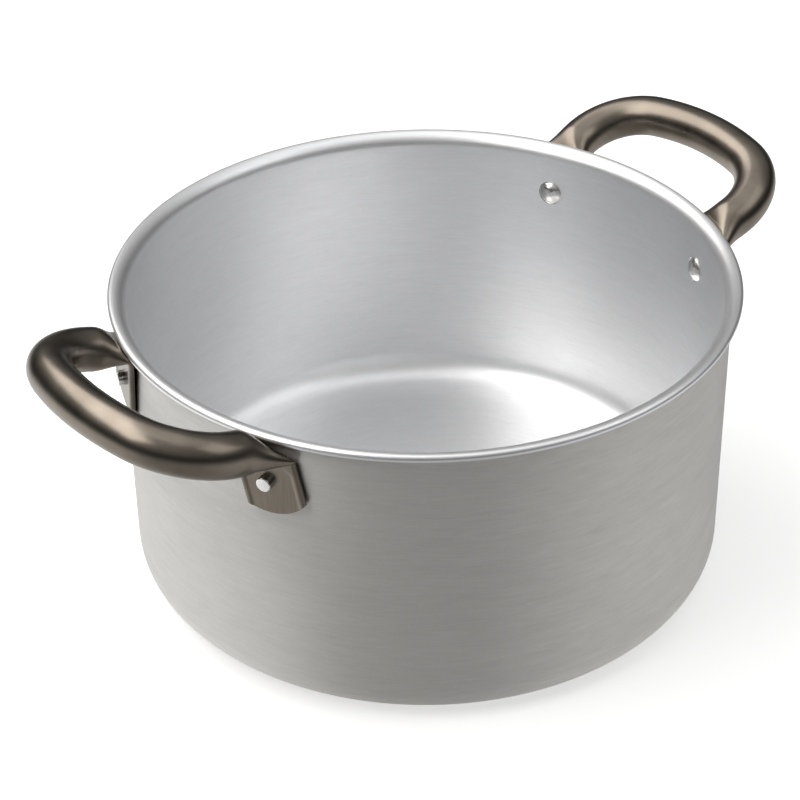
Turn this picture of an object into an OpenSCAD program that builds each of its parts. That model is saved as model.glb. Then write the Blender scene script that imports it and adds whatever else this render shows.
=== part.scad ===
// Low two-handled aluminium pot: a deep-drawn body with a flared rim, and two bent-tube handles,
// each riveted through the wall at both of its flattened ends.
// Millimetres. Origin at the centre of the base, +Z up, handles along X.

/* [Pot body] */
// Diameter over the rim
rim_d = 250; // [220:1:300]
// Height from the base to the top of the rim
body_h = 126.5; // [105:1:180]
// Thickness of the wall and the floor
wall_t = 3; // [2:0.1:3.4]
// How far the rim's edge stands out past the wall
rim_flare = 4; // [3.5:0.1:5]
// Outer radius of the corner between wall and base
base_r = 15; // [12:0.5:24]

/* [Handles] */
// Outer diameter of the handle tube
tube_d = 17.2; // [15:0.1:18]
// Wall thickness of the handle tube
tube_t = 1; // [0.8:0.1:1.2]
// Distance from the rim's edge to the middle of the grip bar
grip_reach = 34.4; // [32:0.1:42]
// Height of the middle of the grip bar above the rim
grip_rise = 7.7; // [4:0.1:10]
// Radius of the grip bar's bow, on the tube's middle line
bar_r = 100; // [80:1:160]
// Half the width of the bowed bar, between the two bends
bar_half = 25; // [22:0.1:28]
// Radius of the two bends, on the tube's middle line
bend_r = 27.8; // [24:0.1:29]
// Upward slope of the handle, away from the pot
slope = 18.9; // [15:0.1:21]
// How far each leg turns inward as it nears the pot
toe_in = 7; // [3:0.5:9]

/* [Riveted ends] */
// Angle around the pot from the handle's middle to each rivet
rivet_angle = 22; // [20:0.25:24]
// Depth of the rivets below the top of the rim
rivet_depth = 21.6; // [20:0.1:24]
// Diameter of the rivet's shank
rivet_d = 6; // [5:0.1:7]
// Diameter of the rivet's domed head
head_d = 10.5; // [9:0.1:12]
// Height of the rivet's domed head
head_h = 2.4; // [1.6:0.1:3]
// How far the rivet's shank stands out of the lug
stub_h = 2.6; // [1:0.1:4]
// Lean of the lug's strip, its foot away from the handle's middle
lug_lean = 13; // [5:0.5:20]
// Distance from the rivet to the lowest point of the lug
lug_drop = 13.3; // [11:0.1:16]
// Radius of the lug's curved lower edge
lug_arc_r = 21; // [18:0.5:40]

/* [Hidden] */

aluminium = [0.78, 0.78, 0.77];
handle_steel = [0.45, 0.41, 0.37];
rivet_steel = [0.86, 0.85, 0.83];

$fn = 96;
eps = 0.01;
shank_gap = 0.05;                                // round each rivet, in the wall and in the lug
seat_gap = 0.1;                                  // between the lug and the wall at the rivet

// Pot body
rim_r = rim_d / 2;
wall_r = rim_r - rim_flare;                      // outside of the wall
lip_r = wall_t / 2;                              // round edge of the rim
flare_in_r = rim_flare - lip_r;                  // outer face's curve under the rim
flare_out_r = flare_in_r + wall_t;               // inner face's curve over the rim
flare_x = rim_r - lip_r;                         // middle of both curves
flare_z = body_h - flare_out_r;

// Handle, as vectors on its +Y side
tube_r = tube_d / 2;
rivet_z = body_h - rivet_depth;
lug_t = 2 * tube_t;                              // the flattened tube is two walls thick
lug_r = wall_r + seat_gap + tube_t;              // middle of the lug from the pot's axis
grip_x = rim_r + grip_reach;
grip_z = body_h + grip_rise;
bar_turn = asin(bar_half / bar_r);
bend_turn = 90 + toe_in - bar_turn;
bend_x = (bar_r - bend_r) * cos(bar_turn) - bar_r;  // middle of a bend, from the grip's middle
bend_y = (bar_r - bend_r) * sin(bar_turn);
loop_out = [cos(slope), 0, sin(slope)];
loop_up = [-sin(slope), 0, cos(slope)];
across = [0, 1, 0];
leg_dir = -loop_out * cos(toe_in) - across * sin(toe_in);
leg_side = across * cos(toe_in) - loop_out * sin(toe_in);
bend_mid = [grip_x, 0, grip_z] + loop_out * bend_x + across * bend_y;
bend_end = bend_mid + leg_side * bend_r;
out_dir = [cos(rivet_angle), sin(rivet_angle), 0];
along_dir = [-sin(rivet_angle), cos(rivet_angle), 0];
fold_dir = unit(cross(loop_up, out_dir));        // the fold lies in the loop's and the lug's planes
toward_wall = cross(loop_up, fold_dir);
down_lug = cross(fold_dir, out_dir);
fold_turn = acos(toward_wall * down_lug);
fold_r = 2;                                      // bend radius of the fold, at mid thickness
fold_len = fold_r * tan(fold_turn / 2);
leg_len = (out_dir * bend_end - lug_r) / -(out_dir * leg_dir);
fold_mid = bend_end + leg_len * leg_dir;
fold_at = fold_mid + down_lug * fold_len;
fold_z = fold_at.z - rivet_z;
fold_y = fold_at * along_dir;
fold_tilt = asin(fold_dir.z);
strip_half = flat_half(tube_t, tube_r);
fold_half = strip_half / cos(lug_lean - fold_tilt) - 0.3;  // just inside the slanted top of the lug
fold_b = tube_t - 0.05;
lug_lap = 0.35;                                  // how far the flat lug runs up into the fold
bore_stop = 4;                                   // the bore ends this angle short of the bend's end
inset = 1.5;                                     // how far the flattening runs into the bend and the lug
step = 0.1;                                      // how far each length of the tube is inside the last
lap_turn = 1;                                    // how far a bend runs on at each end, in degrees
start_r = tube_r - 2 * step;                     // round start of the flattening
fold_start = fold_mid - toward_wall * fold_len;
fold_middle = fold_start - fold_r * loop_up;

RING = 32;                                       // points round one section of the flattening
FLATTEN_STEPS = 10;
FOLD_STEPS = 4;

function unit(v) = v / norm(v);
function mix(a, b, k) = a + (b - a) * k;
// how far the pressing has gone, a share k of the way from round to flat: a wedge at its end
function press(k) = 1 - cos(90 * k);
// half the width of a tube pressed to a half thickness b: its girth stays the same
function flat_half(b, r) = PI * (r - b) / 2 + b;

// one section: width half a along side, thickness half b along up; flat 0 is an oval, and
// flat 1 two flat faces with round edges
function section(at, side, up, a, b, flat) = [
    for (i = [0:RING - 1])
        let (
            turn = 360 * (i + 0.5) / RING,
            x = a * cos(turn),
            edge = max(0, abs(x) - (a - b)) / b,
            y = mix(b * abs(sin(turn)), b * sqrt(max(0, 1 - edge * edge)), flat)
        )
        at + side * x + up * (y * sign(sin(turn)))
];

// sections from the round end of a bend to the fold
function flattening() = [
    section(bend_end - inset * leg_dir, leg_side, loop_up, start_r - step, start_r - step, 0),
    for (i = [0:FLATTEN_STEPS])
        let (k = i / FLATTEN_STEPS, b = mix(start_r, fold_b, press(k)))
        section(mix(bend_end, fold_start, k), unit(mix(leg_side, fold_dir, k * k)), loop_up,
                mix(flat_half(b, start_r), fold_half, k * k), b, press(k))
];

// sections round the fold, the last one inside the lug
function folding() = [
    for (i = [1:FOLD_STEPS])
        let (turn = fold_turn * i / FOLD_STEPS, up = loop_up * cos(turn) + toward_wall * sin(turn))
        section(fold_middle + fold_r * up, fold_dir, up, fold_half, fold_b, 1),
    section(fold_at + inset * down_lug, fold_dir, out_dir, strip_half - inset, fold_b - step, 1)
];

// a solid through a list of sections of RING points
module loft(rings) {
    last = len(rings) - 1;
    ends = [[for (i = [RING - 1:-1:0]) i], [for (i = [0:RING - 1]) last * RING + i]];
    sides = [
        for (k = [0:last - 1], i = [0:RING - 1])
            let (j = (i + 1) % RING, p = k * RING, q = p + RING)
            each [[p + i, p + j, q + j], [p + i, q + j, q + i]]
    ];
    polyhedron(points = [for (ring = rings) each ring], faces = concat(ends, sides));
}

// quarter of a ring in the quadrant x < 0, y > 0
module quarter_ring(r_out, r_in) {
    intersection() {
        difference() {
            circle(r_out);
            circle(r_in);
        }
        translate([-r_out, 0]) square(r_out);
    }
}

module body_profile() {
    corner_x = wall_r - base_r;
    square([corner_x, wall_t]);
    translate([corner_x, base_r]) rotate(180) quarter_ring(base_r, base_r - wall_t);
    translate([wall_r - wall_t, base_r]) square([wall_t, flare_z - base_r]);
    translate([flare_x, flare_z]) quarter_ring(flare_out_r, flare_in_r);
    translate([flare_x, body_h - lip_r]) circle(lip_r);
}

// what is on the rivet's axis, at an angle around the pot, its Z pointing outward
module at_rivet(angle) {
    rotate([0, 0, angle]) translate([0, 0, rivet_z]) rotate([0, 90, 0]) children();
}

module rivet_hole(angle) {
    at_rivet(angle) translate([0, 0, wall_r / 2]) cylinder(h = rim_r, r = rivet_d / 2 + shank_gap);
}

module pot_body() {
    color(aluminium)
    difference() {
        rotate_extrude($fn = 180) body_profile();
        for (side = [0, 180], way = [-1, 1]) rivet_hole(side + way * rivet_angle);
    }
}

// bowed bar and both bends of the tube, at a radius, each bend through an angle
module tube_run(r, turn) {
    translate([grip_x, 0, grip_z]) rotate([0, -slope, 0]) {
        translate([-bar_r, 0, 0]) rotate(-bar_turn)
            rotate_extrude(angle = 2 * bar_turn) translate([bar_r, 0]) circle(r);
        for (way = [0, 1]) mirror([0, way, 0])
            translate([bend_x, bend_y, 0]) rotate(bar_turn - lap_turn)
            rotate_extrude(angle = turn + 2 * lap_turn) translate([bend_r, 0]) circle(r - step);
    }
}

// flattened end against the wall, cut to an arc below and to the fold above
module lug() {
    rotate([0, 0, rivet_angle]) translate([lug_r, 0, rivet_z]) rotate([90, 0, 90])
        linear_extrude(lug_t, center = true)
        intersection() {
            translate([fold_y + fold_z * tan(lug_lean), 0]) rotate(lug_lean) intersection() {
                square([2 * strip_half, 4 * lug_drop], center = true);
                translate([0, lug_arc_r - lug_drop]) circle(lug_arc_r);
            }
            translate([fold_y, fold_z]) rotate(fold_tilt) translate([-rim_r / 2, lug_lap - rim_r])
                square([rim_r, rim_r]);
        }
}

module handle() {
    difference() {
        union() {
            tube_run(tube_r, bend_turn);
            for (way = [0, 1]) mirror([0, way, 0]) {
                loft(concat(flattening(), folding()));
                lug();
            }
        }
        tube_run(tube_r - tube_t, bend_turn - bore_stop);
        for (way = [-1, 1]) rivet_hole(way * rivet_angle);
    }
}

module handle_right() {
    color(handle_steel) handle();
}

module handle_left() {
    color(handle_steel) rotate([0, 0, 180]) handle();
}

// domed head inside the pot, shank through wall and lug, plain end outside
module rivet(angle) {
    head_r = head_d / 2;
    seat = sqrt(pow(wall_r - wall_t, 2) - pow(head_r, 2)) - eps;
    tip = lug_r + tube_t + stub_h;
    dome_r = (pow(head_r, 2) + pow(head_h, 2)) / (2 * head_h);
    edge = 0.4;
    color(rivet_steel)
    at_rivet(angle)
    rotate_extrude($fn = 48) {
        intersection() {
            translate([0, seat - head_h + dome_r]) circle(dome_r);
            translate([0, seat - head_h]) square([head_r, head_h]);
        }
        polygon([
            [0, seat - eps], [rivet_d / 2, seat - eps], [rivet_d / 2, tip - edge],
            [rivet_d / 2 - edge, tip], [0, tip]
        ]);
    }
}

module rivet_left_front() {
    rivet(180 + rivet_angle);
}

module rivet_left_back() {
    rivet(180 - rivet_angle);
}

module rivet_right_front() {
    rivet(-rivet_angle);
}

module rivet_right_back() {
    rivet(rivet_angle);
}

pot_body();
handle_left();
handle_right();
rivet_left_front();
rivet_left_back();
rivet_right_front();
rivet_right_back();
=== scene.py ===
import math

import bmesh
import bpy
from mathutils import Matrix, Vector


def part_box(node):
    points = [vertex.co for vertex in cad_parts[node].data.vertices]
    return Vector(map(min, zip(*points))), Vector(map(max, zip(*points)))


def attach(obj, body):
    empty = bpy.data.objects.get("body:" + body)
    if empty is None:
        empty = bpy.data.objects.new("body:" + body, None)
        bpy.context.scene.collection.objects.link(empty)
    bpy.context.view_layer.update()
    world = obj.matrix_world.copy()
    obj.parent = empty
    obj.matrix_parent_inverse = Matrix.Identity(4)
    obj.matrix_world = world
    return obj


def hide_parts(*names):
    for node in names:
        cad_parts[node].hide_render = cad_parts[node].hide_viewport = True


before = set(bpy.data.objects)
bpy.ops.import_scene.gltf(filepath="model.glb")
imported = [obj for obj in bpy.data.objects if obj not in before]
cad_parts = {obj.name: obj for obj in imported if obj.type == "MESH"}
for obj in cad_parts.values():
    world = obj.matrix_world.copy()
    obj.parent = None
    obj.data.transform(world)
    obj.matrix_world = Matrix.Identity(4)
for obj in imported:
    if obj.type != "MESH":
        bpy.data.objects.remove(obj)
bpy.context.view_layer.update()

MM = 0.001

# ---------------------------------------------------------------- sizes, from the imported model
_, body_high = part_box("pot_body")
_, handle_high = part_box("handle_right")
rivet_low, rivet_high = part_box("rivet_right_back")

RIM_R = body_high.x
BODY_H = body_high.z
WALL_T = 3 * MM
RIM_FLARE = 4 * MM
BASE_R = 15 * MM
WALL_R = RIM_R - RIM_FLARE

TUBE_R = 8.6 * MM
TUBE_T = 1 * MM
BAR_R = 100 * MM                        # bow of the grip bar
BAR_HALF = 25 * MM
BEND_R = 27.8 * MM
SLOPE = math.radians(18.9)
TOE_IN = math.radians(7)
GRIP_X = handle_high.x - TUBE_R
GRIP_Z = handle_high.z - TUBE_R

RIVET_MID = (rivet_low + rivet_high) / 2
RIVET_ANGLE = math.atan2(RIVET_MID.y, RIVET_MID.x)
RIVET_Z = RIVET_MID.z
RIVET_R = 3 * MM
HEAD_R = (rivet_high.z - rivet_low.z) / 2
HEAD_H = 2.4 * MM
STUB_H = 2.6 * MM
SEAT_GAP = 0.1 * MM
LUG_LEAN = math.radians(13)
LUG_DROP = 13.3 * MM
LUG_ARC_R = 21 * MM
FOLD_R = 2 * MM
LUG_R = WALL_R + SEAT_GAP + TUBE_T      # middle of the lug, from the pot's axis
LUG_TOP = RIVET_Z + 7 * MM              # about the height of the fold over each rivet


# ---------------------------------------------------------------- small tools
def mix(a, b, k):
    return a + (b - a) * k


def ease(k):
    return k * k * (3 - 2 * k)


def press(k):
    """How far the pressing has gone, a share k of the way from round to flat."""
    return 1 - math.cos(math.pi / 2 * k)


def arc(centre_x, centre_z, radius, start, end, steps):
    """Points (x, z) round an arc; the angles are in degrees."""
    angles = [math.radians(mix(start, end, i / steps)) for i in range(steps + 1)]
    return [(centre_x + radius * math.cos(a), centre_z + radius * math.sin(a)) for a in angles]


def line(start, end, steps):
    """Points between two ends, without the ends themselves."""
    return [
        (mix(start[0], end[0], i / steps), mix(start[1], end[1], i / steps))
        for i in range(1, steps)
    ]


def direction(azimuth, elevation):
    """The unit vector that points out at two angles in degrees: round from +X, and up."""
    a, e = math.radians(azimuth), math.radians(elevation)
    return Vector((math.cos(a) * math.cos(e), math.sin(a) * math.cos(e), math.sin(e)))


def new_object(name, data):
    thing = bpy.data.objects.new(name, data)
    bpy.context.scene.collection.objects.link(thing)
    return thing


def new_piece(name, bm, material, sharp=40):
    """A smooth-shaded object made of the bmesh, with edges sharper than an angle kept."""
    bmesh.ops.recalc_face_normals(bm, faces=bm.faces)
    mesh = bpy.data.meshes.new(name)
    bm.to_mesh(mesh)
    bm.free()
    for face in mesh.polygons:
        face.use_smooth = True
    mesh.set_sharp_from_angle(angle=math.radians(sharp))
    piece = new_object(name, mesh)
    piece.data.materials.append(material)
    return piece


ON_AXIS = 1e-7                          # a point nearer the axis than this lies on it


def lathe(profile, steps):
    """A closed surface of revolution: profile runs from the axis to the axis."""
    bm = bmesh.new()
    rings = []
    for x, z in profile:
        if x < ON_AXIS:
            rings.append([bm.verts.new((0, 0, z))] * steps)
        else:
            angles = [2 * math.pi * i / steps for i in range(steps)]
            rings.append([bm.verts.new((x * math.cos(a), x * math.sin(a), z)) for a in angles])
    for low, high in zip(rings, rings[1:]):
        for i in range(steps):
            j = (i + 1) % steps
            corners = [low[i], low[j], high[j], high[i]]
            unique = list(dict.fromkeys(corners))
            if len(unique) > 2:
                bm.faces.new(unique)
    return bm


# ---------------------------------------------------------------- materials
class Nodes:
    """Short calls for one node tree: a new material's, or the tree that is given."""

    def __init__(self, name, tree=None):
        self.tree = tree
        if tree is None:
            self.material = bpy.data.materials.new(name)
            self.material.use_nodes = True
            self.tree = self.material.node_tree
            self.shader = self.tree.nodes["Principled BSDF"]

    def add(self, kind, inputs=None, **settings):
        node = self.tree.nodes.new(kind)
        for key, value in settings.items():
            setattr(node, key, value)
        for key, value in (inputs or {}).items():
            self.put(node.inputs[key], value)
        return node

    def put(self, socket, value):
        if isinstance(value, bpy.types.NodeSocket):
            self.tree.links.new(value, socket)
        else:
            socket.default_value = value

    def math(self, operation, *values):
        node = self.add("ShaderNodeMath", dict(enumerate(values)), operation=operation)
        return node.outputs[0]

    def blend(self, share, low, high):
        """A number from low to high as share goes from 0 to 1."""
        node = self.add("ShaderNodeMapRange", {"Value": share, "To Min": low, "To Max": high})
        return node.outputs["Result"]

    def colour(self, share, low, high):
        node = self.add("ShaderNodeMix", {"Factor": share}, data_type="RGBA")
        self.put(node.inputs["A"], (*low, 1))
        self.put(node.inputs["B"], (*high, 1))
        return node.outputs["Result"]

    def noise(self, vector, scale, detail=3.0, w=None):
        inputs = {"Vector": vector, "Scale": scale, "Detail": detail}
        if w is not None:
            inputs["W"] = w
        node = self.add("ShaderNodeTexNoise", inputs, noise_dimensions="3D" if w is None else "4D")
        return node.outputs["Fac"]

    def place(self):
        """Position in the row frame, in metres."""
        return self.add("ShaderNodeTexCoord").outputs["Object"]

    def bump(self, height, distance, strength=1.0):
        inputs = {"Height": height, "Distance": distance, "Strength": strength}
        return self.add("ShaderNodeBump", inputs).outputs["Normal"]


NEAR_AXIS = 0.1 * MM                    # the lines round the pot fade out nearer its axis


def turned_place(n, along, across):
    """A place for noise whose grain runs round the Z axis, with no seam: (vector, w)."""
    split = n.add("ShaderNodeSeparateXYZ", {0: n.place()})
    x, y, z = (split.outputs[i] for i in range(3))
    radius = n.math("SQRT", n.math("ADD", n.math("MULTIPLY", x, x), n.math("MULTIPLY", y, y)))
    safe = n.math("MAXIMUM", radius, NEAR_AXIS)
    turn_x = n.math("MULTIPLY", n.math("DIVIDE", x, safe), along)
    turn_y = n.math("MULTIPLY", n.math("DIVIDE", y, safe), along)
    level = n.math("MULTIPLY", z, across)
    combined = n.add("ShaderNodeCombineXYZ", {"X": turn_x, "Y": turn_y, "Z": level})
    return combined.outputs[0], n.math("MULTIPLY", radius, across)


def turned_lines(n, along, across, detail=4.0):
    """Noise in lines that run round the Z axis, as a lathe or a belt leaves them."""
    vector, depth = turned_place(n, along, across)
    return n.noise(vector, 1.0, detail, w=depth)


def scratches(n, along, across, keep):
    """Sparse bright scratches round the Z axis: 0 almost everywhere, 1 in a scratch."""
    lines = turned_lines(n, along, across, 2.0)
    share = {"Value": lines, "From Min": keep, "From Max": keep + 0.06}
    return n.add("ShaderNodeMapRange", share).outputs["Result"]


def aluminium(name, colour, roughness, brushing, contrast):
    """Aluminium with belt-brushed lines round the pot; contrast is how much they show."""
    n = Nodes(name)
    fine = turned_lines(n, 14, 1500)
    broad = turned_lines(n, 5, 300)
    grain = n.noise(n.place(), 900, 4)
    cloud = n.noise(n.place(), 14, 3)
    lines = n.math("ADD", n.math("MULTIPLY", fine, 0.65), n.math("MULTIPLY", broad, 0.35))
    mixed = n.math("ADD", n.math("MULTIPLY", lines, 0.8), n.math("MULTIPLY", grain, 0.2))
    marks = scratches(n, 22, 700, 0.66)
    shade = n.add("ShaderNodeMapRange", {"Value": mixed, "From Min": 0.3, "From Max": 0.7})
    tone = shade.outputs["Result"]
    dark = tuple(c * (1 - contrast) for c in colour)
    light = tuple(min(1, c * (1 + contrast)) for c in colour)
    worn = tuple(min(1, c * (1 + 2 * contrast)) for c in colour)
    base = n.add("ShaderNodeMix", {"Factor": n.math("MULTIPLY", marks, 0.4)}, data_type="RGBA")
    n.put(base.inputs["A"], n.colour(tone, dark, light))
    n.put(base.inputs["B"], (*worn, 1))
    n.put(n.shader.inputs["Base Color"], base.outputs["Result"])
    spread = n.blend(tone, roughness + 0.05, roughness - 0.05)
    n.put(n.shader.inputs["Roughness"], n.math("ADD", n.blend(cloud, -0.04, 0.04), spread))
    n.shader.inputs["Metallic"].default_value = 1
    n.shader.inputs["Anisotropic"].default_value = brushing
    n.shader.inputs["Anisotropic Rotation"].default_value = 0.25
    tangent = n.add("ShaderNodeTangent", direction_type="RADIAL", axis="Z")
    n.put(n.shader.inputs["Tangent"], tangent.outputs[0])
    height = n.math("SUBTRACT", mixed, n.math("MULTIPLY", marks, 0.3))
    n.put(n.shader.inputs["Normal"], n.bump(height, 0.045 * MM))
    return n.material


def brushed_handle():
    """Satin steel: a fine blasted grain on the tube, vertical brushing on the pressed lugs."""
    n = Nodes("handle_steel_brushed")
    place = n.place()
    grain = n.noise(place, 1300, 2)
    patch = n.noise(place, 60, 3)
    upright = n.add("ShaderNodeVectorMath", {0: place, 1: (1400, 1400, 60)}, operation="MULTIPLY")
    brushed = n.noise(upright.outputs[0], 1.0, 3)
    level = n.add("ShaderNodeSeparateXYZ", {0: place}).outputs["Z"]
    on_lug = n.add(
        "ShaderNodeMapRange", {"Value": level, "From Min": LUG_TOP, "From Max": LUG_TOP - 4 * MM}
    ).outputs["Result"]
    texture = n.blend(on_lug, grain, brushed)
    tone = n.blend(n.math("MULTIPLY", on_lug, 0.5), patch, brushed)
    shade = n.add("ShaderNodeMapRange", {"Value": tone, "From Min": 0.35, "From Max": 0.65})
    n.put(
        n.shader.inputs["Base Color"],
        n.colour(shade.outputs["Result"], HANDLE_DARK, HANDLE_LIGHT),
    )
    n.put(n.shader.inputs["Roughness"], n.blend(patch, 0.24, 0.34))
    n.shader.inputs["Metallic"].default_value = 1
    n.put(n.shader.inputs["Normal"], n.bump(texture, 0.010 * MM))
    return n.material


def bright_rivet():
    n = Nodes("rivet_steel_bright")
    place = n.place()
    peen = n.noise(place, 420, 2)
    n.put(n.shader.inputs["Base Color"], n.colour(peen, RIVET_DARK, RIVET_LIGHT))
    n.put(n.shader.inputs["Roughness"], n.blend(n.noise(place, 1200, 4), 0.12, 0.26))
    n.shader.inputs["Metallic"].default_value = 1
    n.put(n.shader.inputs["Normal"], n.bump(peen, 0.18 * MM))
    return n.material


# The inside and the outside are one aluminium: the outside colour is a darker copy that paints shade,
# the inside colour a lighter copy that paints light.
OUTSIDE_SHADED_COLOUR = (0.725, 0.715, 0.69)
INSIDE_LIT_COLOUR = (0.86, 0.865, 0.875)
HANDLE_DARK = (0.184, 0.158, 0.130)
HANDLE_LIGHT = (0.240, 0.208, 0.173)
RIVET_DARK = (0.78, 0.77, 0.75)
RIVET_LIGHT = (0.88, 0.87, 0.85)
# The outside material carries the painted-shade copy of the colour, the inside material the
# painted-light copy.
OUTSIDE_MATERIAL = aluminium(
    "pot_aluminium_brushed_outside", OUTSIDE_SHADED_COLOUR, roughness=0.5, brushing=0.75, contrast=0.055
)
INSIDE_MATERIAL = aluminium(
    "pot_aluminium_satin_inside", INSIDE_LIT_COLOUR, roughness=0.42, brushing=0.3, contrast=0.045
)
HANDLE_MATERIAL = brushed_handle()
RIVET_MATERIAL = bright_rivet()


# ---------------------------------------------------------------- pot body
POT_STEPS = 288                         # facets round the pot
CORNER_STEPS = 14                       # along the corner at the base, and over the rim
UNDER_STEPS = 10                        # under the rim
LIP_STEPS = 12                          # round the rim's edge
LIP_INSIDE = 9                          # how many of the lip's points have the inside's finish
STRAIGHT_STEPS = 24                     # along each straight stretch


def pot_profile():
    """Outline from the middle of the floor, up the inside, over the rim and back under the base."""
    in_r = WALL_R - WALL_T
    corner_x = WALL_R - BASE_R
    lip_r = WALL_T / 2
    flare_in = RIM_FLARE - lip_r
    flare_out = flare_in + WALL_T
    flare_x = RIM_R - lip_r
    flare_z = BODY_H - flare_out
    lip_z = BODY_H - lip_r
    inside = arc(corner_x, BASE_R, BASE_R - WALL_T, -90, 0, CORNER_STEPS)
    outside = arc(corner_x, BASE_R, BASE_R, 0, -90, CORNER_STEPS)
    over = arc(flare_x, flare_z, flare_out, 180, 90, CORNER_STEPS)
    lip = arc(flare_x, lip_z, lip_r, 90, -90, LIP_STEPS)[1:]
    under = arc(flare_x, flare_z, flare_in, 90, 180, UNDER_STEPS)[1:]
    floor = [(0, WALL_T)] + line((0, WALL_T), inside[0], STRAIGHT_STEPS)
    wall_in = line(inside[-1], (in_r, flare_z), STRAIGHT_STEPS)
    wall_out = line(under[-1], (WALL_R, BASE_R), STRAIGHT_STEPS)
    base = line(outside[-1], (0, 0), STRAIGHT_STEPS) + [(0, 0)]
    inner = floor + inside + wall_in + over + lip[:LIP_INSIDE]
    outer = lip[LIP_INSIDE:] + under + wall_out + outside + base
    return inner, outer


def build_pot():
    inner, outer = pot_profile()
    bm = lathe(inner + outer, POT_STEPS)
    for i, face in enumerate(bm.faces):
        face.material_index = int(i // POT_STEPS >= len(inner) - 1)
    pot = new_piece("pot_shell", bm, INSIDE_MATERIAL, 60)
    pot.data.materials.append(OUTSIDE_MATERIAL)
    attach(pot, "root")
    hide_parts("pot_body")


# ---------------------------------------------------------------- handles
RING = 96                               # points round each section of the tube
LOOP_UP = Vector((-math.sin(SLOPE), 0, math.cos(SLOPE)))
LOOP_OUT = Vector((math.cos(SLOPE), 0, math.sin(SLOPE)))
ACROSS = Vector((0, 1, 0))
GRIP_MID = Vector((GRIP_X, 0, GRIP_Z))
BAR_TURN = math.asin(BAR_HALF / BAR_R)
BEND_STOP = math.pi / 2 + TOE_IN
BEND_MID = GRIP_MID - LOOP_OUT * (BAR_R - (BAR_R - BEND_R) * math.cos(BAR_TURN))
BEND_MID += ACROSS * (BAR_R - BEND_R) * math.sin(BAR_TURN)
LEG_DIR = -LOOP_OUT * math.cos(TOE_IN) - ACROSS * math.sin(TOE_IN)
LEG_SIDE = ACROSS * math.cos(TOE_IN) - LOOP_OUT * math.sin(TOE_IN)
BEND_END = BEND_MID + LEG_SIDE * BEND_R
OUT_DIR = Vector((math.cos(RIVET_ANGLE), math.sin(RIVET_ANGLE), 0))
ALONG_DIR = Vector((-math.sin(RIVET_ANGLE), math.cos(RIVET_ANGLE), 0))
FOLD_DIR = LOOP_UP.cross(OUT_DIR).normalized()
TOWARD_WALL = LOOP_UP.cross(FOLD_DIR)
DOWN_LUG = FOLD_DIR.cross(OUT_DIR)
FOLD_TURN = TOWARD_WALL.angle(DOWN_LUG)
FOLD_LEN = FOLD_R * math.tan(FOLD_TURN / 2)
LEG_LEN = (OUT_DIR.dot(BEND_END) - LUG_R) / -OUT_DIR.dot(LEG_DIR)
FOLD_MID = BEND_END + LEG_DIR * LEG_LEN
FOLD_AT = FOLD_MID + DOWN_LUG * FOLD_LEN
FOLD_START = FOLD_MID - TOWARD_WALL * FOLD_LEN
FOLD_MIDDLE = FOLD_START - LOOP_UP * FOLD_R
FOLD_TILT = math.asin(FOLD_DIR.z)
SKEW = math.cos(LUG_LEAN - FOLD_TILT)
STRIP_DOWN = ALONG_DIR * math.sin(LUG_LEAN) - Vector((0, 0, math.cos(LUG_LEAN)))
STRIP_SIDE = ALONG_DIR * math.cos(LUG_LEAN) + Vector((0, 0, math.sin(LUG_LEAN)))


def flat_half(b):
    """Half the width of the tube pressed to a half thickness b: its girth stays the same."""
    return math.pi * (TUBE_R - b) / 2 + b


def around(a, b, flat):
    """Points (side, up) round a section of half width a and half thickness b.

    flat 0 is an oval and flat 1 has two flat faces with round edges.
    """
    points = []
    for i in range(RING):
        turn = 2 * math.pi * (i + 0.5) / RING
        x = a * math.cos(turn)
        edge = max(0.0, abs(x) - (a - b)) / b
        high = mix(b * abs(math.sin(turn)), b * math.sqrt(max(0.0, 1 - edge * edge)), flat)
        points.append((x, math.copysign(high, math.sin(turn))))
    return points


def section(at, side, up, points):
    return [at + side * x + up * y for x, y in points]


def bar_sections(steps):
    """Half of the bowed grip bar, from its middle."""
    rings = []
    for i in range(steps):
        turn = BAR_TURN * i / steps
        side = LOOP_OUT * math.cos(turn) + ACROSS * math.sin(turn)
        centre = GRIP_MID + (side - LOOP_OUT) * BAR_R
        rings.append(section(centre, side, LOOP_UP, around(TUBE_R, TUBE_R, 0)))
    return rings


def bend_sections(steps):
    rings = []
    for i in range(steps):
        turn = mix(BAR_TURN, BEND_STOP, i / steps)
        side = LOOP_OUT * math.cos(turn) + ACROSS * math.sin(turn)
        rings.append(section(BEND_MID + side * BEND_R, side, LOOP_UP, around(TUBE_R, TUBE_R, 0)))
    return rings


def flat_sections(steps):
    """From the round end of the bend to the pressed strip at the fold."""
    rings = []
    for i in range(steps):
        k = i / steps
        b = mix(TUBE_R, BEAD_R, press(k))
        side = LEG_SIDE.lerp(FOLD_DIR / SKEW, k * k)
        shape = around(flat_half(b), b, press(k))
        rings.append(section(BEND_END.lerp(FOLD_START, k), side, LOOP_UP, shape))
    return rings


def fold_sections(steps):
    rings = []
    for i in range(steps):
        turn = FOLD_TURN * i / steps
        up = LOOP_UP * math.cos(turn) + TOWARD_WALL * math.sin(turn)
        at = FOLD_MIDDLE + up * FOLD_R
        rings.append(section(at, FOLD_DIR / SKEW, up, STRIP))
    return rings


def lug_point(across, up, drop):
    """A point of the lug: across and down its strip from the rivet's level on the strip's line."""
    return STRIP_ORIGIN + STRIP_SIDE * across + STRIP_DOWN * drop - OUT_DIR * up


def strip_origin():
    """Where the strip's middle line passes the level of the rivet."""
    along = (FOLD_AT - OUT_DIR * LUG_R).dot(ALONG_DIR)
    at_rivet = along + (FOLD_AT.z - RIVET_Z) * math.tan(LUG_LEAN)
    return OUT_DIR * LUG_R + ALONG_DIR * at_rivet + Vector((0, 0, RIVET_Z))


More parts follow.
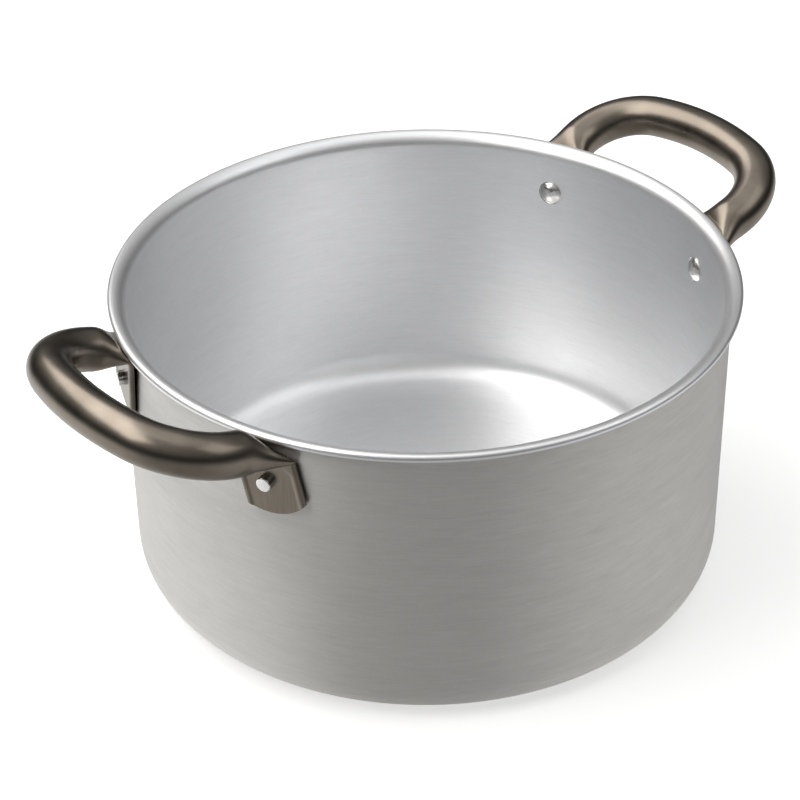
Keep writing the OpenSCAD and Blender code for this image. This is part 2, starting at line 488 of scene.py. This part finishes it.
BEAD_R = 1.25 * MM                      # half thickness of the pressed strip's edges
BEAD_FROM = 2.9 * MM                    # the outside is sunk from here, in from each edge
BEAD_TO = 1.9 * MM
SUNK = 0.28                             # how much thinner the outside is there
ARCH_TOP = 1.0 * MM                     # the sunk face ends in an arch under the fold
ARCH_FALL = 5.0 * MM
ARCH_SOFT = 1.2 * MM
STRIP_HALF = flat_half(BEAD_R)
STRIP = [(x, min(y, TUBE_T)) for x, y in around(STRIP_HALF, BEAD_R, 1)]


def rise(k):
    return ease(min(1.0, max(0.0, k)))


def sunk(x, y, down):
    """Height y of the strip at a point across it and down from the fold, sunk on the outside."""
    if y > 0:
        return y
    inside = rise((STRIP_HALF - BEAD_TO - abs(x)) / (BEAD_FROM - BEAD_TO))
    arch = ARCH_TOP + ARCH_FALL * (x / STRIP_HALF) ** 2
    return y * (1 - SUNK * inside * rise((down - arch) / ARCH_SOFT))


STRIP_ORIGIN = strip_origin()


def lug_end(across):
    """How far down the strip its curved lower edge is."""
    return LUG_DROP - LUG_ARC_R + math.sqrt(LUG_ARC_R ** 2 - across ** 2)


def fold_drop(across):
    """How far down the strip the fold is, as a negative number."""
    spot = STRIP_ORIGIN + STRIP_SIDE * across
    normal = FOLD_DIR.cross(OUT_DIR)
    return (FOLD_AT - spot).dot(normal) / STRIP_DOWN.dot(normal)


def lug_ring(drop_at, width=1.0, thickness=1.0):
    """One ring of the lug, at a drop that depends on where across the strip a point is."""
    ring = []
    for x, y in STRIP:
        drop = drop_at(x)
        high = sunk(x, y, drop - fold_drop(x)) * thickness
        ring.append(lug_point(x * width, high, drop))
    return ring


def lug_sections(steps):
    return [
        lug_ring(lambda x, k=i / steps: mix(fold_drop(x), lug_end(x), k)) for i in range(steps + 1)
    ]


# Rings of the cut edge: shares of the lug's width and thickness, then how far below its end.
CUT_RINGS = ((0.992, 0.86, 0.14 * MM), (0.985, 0.10, 0.14 * MM), (0.98, 0.05, -0.5 * MM))


def lug_cut():
    """The cut lower edge: a small bevel, and the seam between the two walls of the pressed tube."""
    return [
        lug_ring(lambda x, d=drop: lug_end(x) + d, width, thickness)
        for width, thickness, drop in CUT_RINGS
    ]


def handle_mesh():
    half = bar_sections(steps=6) + bend_sections(steps=26)
    half += flat_sections(steps=34) + fold_sections(steps=10)
    half += lug_sections(steps=28) + lug_cut()
    other = [[Vector((p.x, -p.y, p.z)) for p in ring] for ring in half[:0:-1]]
    bm = bmesh.new()
    rings = [[bm.verts.new(p) for p in ring] for ring in other + half]
    for near, far in zip(rings, rings[1:]):
        for i in range(RING):
            j = (i + 1) % RING
            bm.faces.new((near[i], near[j], far[j], far[i]))
    for ring in (rings[0], rings[-1]):
        # straight strips close the seam's bottom
        for i in range(RING // 2 - 1):
            a, b = i, RING - 1 - i
            bm.faces.new((ring[a], ring[a + 1], ring[b - 1], ring[b]))
    return bm


DRILL_STEPS = 48
DRILL_LENGTH = 20 * MM
HOLE_GAP = 0.05 * MM                    # how much wider a hole's radius is than its rivet's


def drill(piece, radius):
    """Cuts the piece's two rivet holes, along the rivets' axes."""
    for way in (-1, 1):
        bm = bmesh.new()
        bmesh.ops.create_cone(
            bm, cap_ends=True, segments=DRILL_STEPS, radius1=radius, radius2=radius, depth=DRILL_LENGTH
        )
        mesh = bpy.data.meshes.new("drill")
        bm.to_mesh(mesh)
        bm.free()
        tool = new_object("drill", mesh)
        turn = Matrix.Rotation(way * RIVET_ANGLE, 4, "Z") @ Matrix.Rotation(math.pi / 2, 4, "Y")
        spot = Matrix.Rotation(way * RIVET_ANGLE, 3, "Z") @ Vector((LUG_R, 0, RIVET_Z))
        tool.matrix_world = Matrix.Translation(spot) @ turn
        cut = piece.modifiers.new("rivet_hole", "BOOLEAN")
        cut.object = tool
        cut.solver = "EXACT"
        bpy.context.view_layer.update()
        depsgraph = bpy.context.evaluated_depsgraph_get()
        result = bpy.data.meshes.new_from_object(piece.evaluated_get(depsgraph))
        piece.modifiers.clear()
        piece.data = result
        bpy.data.objects.remove(tool)


def build_handles():
    right = new_piece("grip_right", handle_mesh(), HANDLE_MATERIAL, 35)
    drill(right, RIVET_R + HOLE_GAP)
    left = new_object("grip_left", right.data.copy())
    left.data.transform(Matrix.Rotation(math.pi, 4, "Z"))
    for piece, node in ((right, "handle_right"), (left, "handle_left")):
        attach(piece, "root")
        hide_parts(node)


# ---------------------------------------------------------------- rivets
RIVET_STEPS = 64
STUB_EDGE = 0.5 * MM                    # rounding of the stub's end
HEAD_ROUND = 0.25 * MM                  # how far in from the head's edge its dome stops
HEAD_SHOULDER = 0.35 * MM               # how much nearer the wall the dome stops there
HEAD_RIM = 0.3 * MM                     # the head's upright edge starts this far off its seat
HEAD_LIFT = 0.02 * MM                   # and ends this far off it
SHANK_LIFT = 0.01 * MM


def rivet_profile():
    """Outline along the rivet's axis: domed head inside the pot, plain end outside."""
    seat = math.sqrt((WALL_R - WALL_T) ** 2 - HEAD_R ** 2)
    tip = LUG_R + TUBE_T + STUB_H
    dome_r = (HEAD_R ** 2 + HEAD_H ** 2) / (2 * HEAD_H)
    half = math.degrees(math.asin(HEAD_R / dome_r))
    dome = arc(0, seat - HEAD_H + dome_r, dome_r, -90, -90 + half, 16)
    dome[0] = (0, seat - HEAD_H)
    dome[-1] = (HEAD_R - HEAD_ROUND, dome[-2][1] + HEAD_SHOULDER)
    head_edge = [(HEAD_R, seat - HEAD_RIM), (HEAD_R, seat - HEAD_LIFT)]
    end = arc(RIVET_R - STUB_EDGE, tip - STUB_EDGE, STUB_EDGE, 0, 90, 6)
    return dome + head_edge + [(RIVET_R, seat - SHANK_LIFT)] + end + [(0, tip)]


def build_rivet(node, angle):
    bm = lathe(rivet_profile(), RIVET_STEPS)
    outward = Matrix.Rotation(angle, 4, "Z") @ Matrix.Rotation(math.pi / 2, 4, "Y")
    bmesh.ops.transform(bm, verts=bm.verts, matrix=Matrix.Translation((0, 0, RIVET_Z)) @ outward)
    rivet = new_piece(node + "_turned", bm, RIVET_MATERIAL, 40)
    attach(rivet, "root")
    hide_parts(node)


def build_rivets():
    build_rivet("rivet_left_front", math.pi + RIVET_ANGLE)
    build_rivet("rivet_left_back", math.pi - RIVET_ANGLE)
    build_rivet("rivet_right_front", -RIVET_ANGLE)
    build_rivet("rivet_right_back", RIVET_ANGLE)


# ---------------------------------------------------------------- floor, light and camera
STUDIO_R = 6                            # how far out the backdrop is
CAMERA_AZIMUTH = -130.39                # where the camera stands, round from +X
CAMERA_ELEVATION = 34.24
CAMERA_DISTANCE = 934.4 * MM
CAMERA_AIM_Z = 62.5 * MM
CAMERA_PAN = math.radians(0.646)
CAMERA_TILT = math.radians(0.205)
CAMERA_ROLL = math.radians(-0.473)
CAMERA_LENS = 102.4


def build_floor():
    """A pale floor that glows with painted light, turning white further out, and a white backdrop
    behind all of it.
    """
    n = Nodes("floor_pale")
    place = n.place()
    n.put(n.shader.inputs["Base Color"], n.colour(n.noise(place, 3), (0.86,) * 3, (0.88,) * 3))
    n.shader.inputs["Roughness"].default_value = 0.9
    # Painted light: the floor glows white, at 0.45 near the pot, which lightens the pot's shadow,
    # rising to 1.0 further out.
    n.shader.inputs["Emission Color"].default_value = (1, 1, 1, 1)
    away = n.add("ShaderNodeVectorMath", {0: place}, operation="LENGTH").outputs["Value"]
    glow = {"Value": away, "From Min": 0.6, "From Max": 1.8, "To Min": 0.45, "To Max": 1.0}
    n.put(n.shader.inputs["Emission Strength"], n.add("ShaderNodeMapRange", glow).outputs["Result"])
    bm = bmesh.new()
    bmesh.ops.create_grid(bm, x_segments=1, y_segments=1, size=STUDIO_R)
    floor = new_piece("floor", bm, n.material)
    floor.visible_glossy = False        # the metal mirrors the studio's grey lower half instead

    n = Nodes("backdrop_white")
    n.shader.inputs["Base Color"].default_value = (0, 0, 0, 1)
    n.shader.inputs["Emission Color"].default_value = (1, 1, 1, 1)
    n.shader.inputs["Emission Strength"].default_value = 1
    bm = bmesh.new()
    bmesh.ops.create_uvsphere(bm, u_segments=48, v_segments=24, radius=STUDIO_R)
    backdrop = new_piece("backdrop", bm, n.material)
    for ray in ("diffuse", "glossy", "transmission", "shadow"):
        setattr(backdrop, "visible_" + ray, False)


def area_light(name, round_by, elevation, distance, size, radiance, colour=(1, 1, 1)):
    """A soft box facing the pot's middle, at an angle round from the camera."""
    back = direction(CAMERA_AZIMUTH + round_by, elevation)
    lamp = bpy.data.lights.new(name, "AREA")
    lamp.shape = "RECTANGLE"
    lamp.size, lamp.size_y = size
    lamp.energy = radiance * math.pi * size[0] * size[1]
    lamp.color = colour
    holder = new_object(name, lamp)
    holder.location = Vector((0, 0, BODY_H / 2)) + back * distance
    holder.rotation_mode = "QUATERNION"
    holder.rotation_quaternion = (-back).to_track_quat("-Z", "Y")


def build_camera():
    back = direction(CAMERA_AZIMUTH, CAMERA_ELEVATION)
    data = bpy.data.cameras.new("camera")
    data.lens = CAMERA_LENS
    data.sensor_width = 36
    data.clip_start = 0.05
    camera = new_object("camera", data)
    facing = (-back).to_track_quat("-Z", "Y").to_matrix().to_4x4()
    pan = Matrix.Rotation(CAMERA_PAN, 4, "Y")
    tilt = Matrix.Rotation(CAMERA_TILT, 4, "X")
    roll = Matrix.Rotation(CAMERA_ROLL, 4, "Z")
    spot = Matrix.Translation(Vector((0, 0, CAMERA_AIM_Z)) + back * CAMERA_DISTANCE)
    camera.matrix_world = spot @ facing @ pan @ tilt @ roll
    bpy.context.scene.camera = camera


# How bright the studio is by height: sine of the elevation, then radiance.
STUDIO_LEVELS = (
    (-1.0, 0.46), (-0.35, 0.45), (-0.10, 0.12), (0.0, 0.03), (0.20, 0.04), (0.45, 0.26), (1.0, 0.50)
)
# Where the studio's lower half is lighter: degrees round from the camera, then by how much.
STUDIO_SIDES = ((-118, 2.0), (104, 0.95))


def build_world():
    """A dim studio: dark at the horizon, and below it a grey that is lighter on either side."""
    world = bpy.data.worlds.new("studio")
    world.use_nodes = True
    n = Nodes("studio_tools", world.node_tree)
    place = n.add("ShaderNodeTexCoord").outputs["Generated"]
    height = n.add("ShaderNodeSeparateXYZ", {0: place}).outputs["Z"]
    level = n.add("ShaderNodeMapRange", {"Value": height, "From Min": -1}).outputs["Result"]
    ramp = n.add("ShaderNodeValToRGB", {"Fac": level})
    stops = ramp.color_ramp.elements
    while len(stops) < len(STUDIO_LEVELS):
        stops.new(0.5)
    for stop, (sine, radiance) in zip(stops, STUDIO_LEVELS):
        stop.position = (sine + 1) / 2
        stop.color = (radiance, radiance, radiance, 1)
    lift = 0.0
    for round_by, gain in STUDIO_SIDES:
        turn = math.radians(CAMERA_AZIMUTH + round_by)
        toward = (math.cos(turn), math.sin(turn), 0)
        side = n.add("ShaderNodeVectorMath", {0: place, 1: toward}, operation="DOT_PRODUCT")
        share = {"Value": side.outputs["Value"], "From Min": 0.1, "From Max": 0.9, "To Max": gain}
        lift = n.math("ADD", lift, n.add("ShaderNodeMapRange", share).outputs["Result"])
    below = n.add(
        "ShaderNodeMapRange", {"Value": height, "From Min": -0.05, "From Max": -0.3}
    ).outputs["Result"]
    strength = n.math("ADD", 1.0, n.math("MULTIPLY", lift, below))
    n.put(n.tree.nodes["Background"].inputs["Color"], ramp.outputs["Color"])
    n.put(n.tree.nodes["Background"].inputs["Strength"], strength)
    bpy.context.scene.world = world
    bpy.context.scene.view_settings.view_transform = "Standard"


def build_lights():
    area_light(
        "soft_key", round_by=-98, elevation=55, distance=1.3, size=(2.2, 0.8), radiance=3.0,
        colour=(1.0, 0.98, 0.95),
    )
    area_light("soft_top", round_by=150, elevation=80, distance=1.6, size=(1.6, 1.6), radiance=0.6)
    area_light("soft_right", round_by=80, elevation=45, distance=1.4, size=(0.9, 0.7), radiance=1.1)


build_camera()
build_world()
build_lights()
build_floor()
build_pot()
build_handles()
build_rivets()
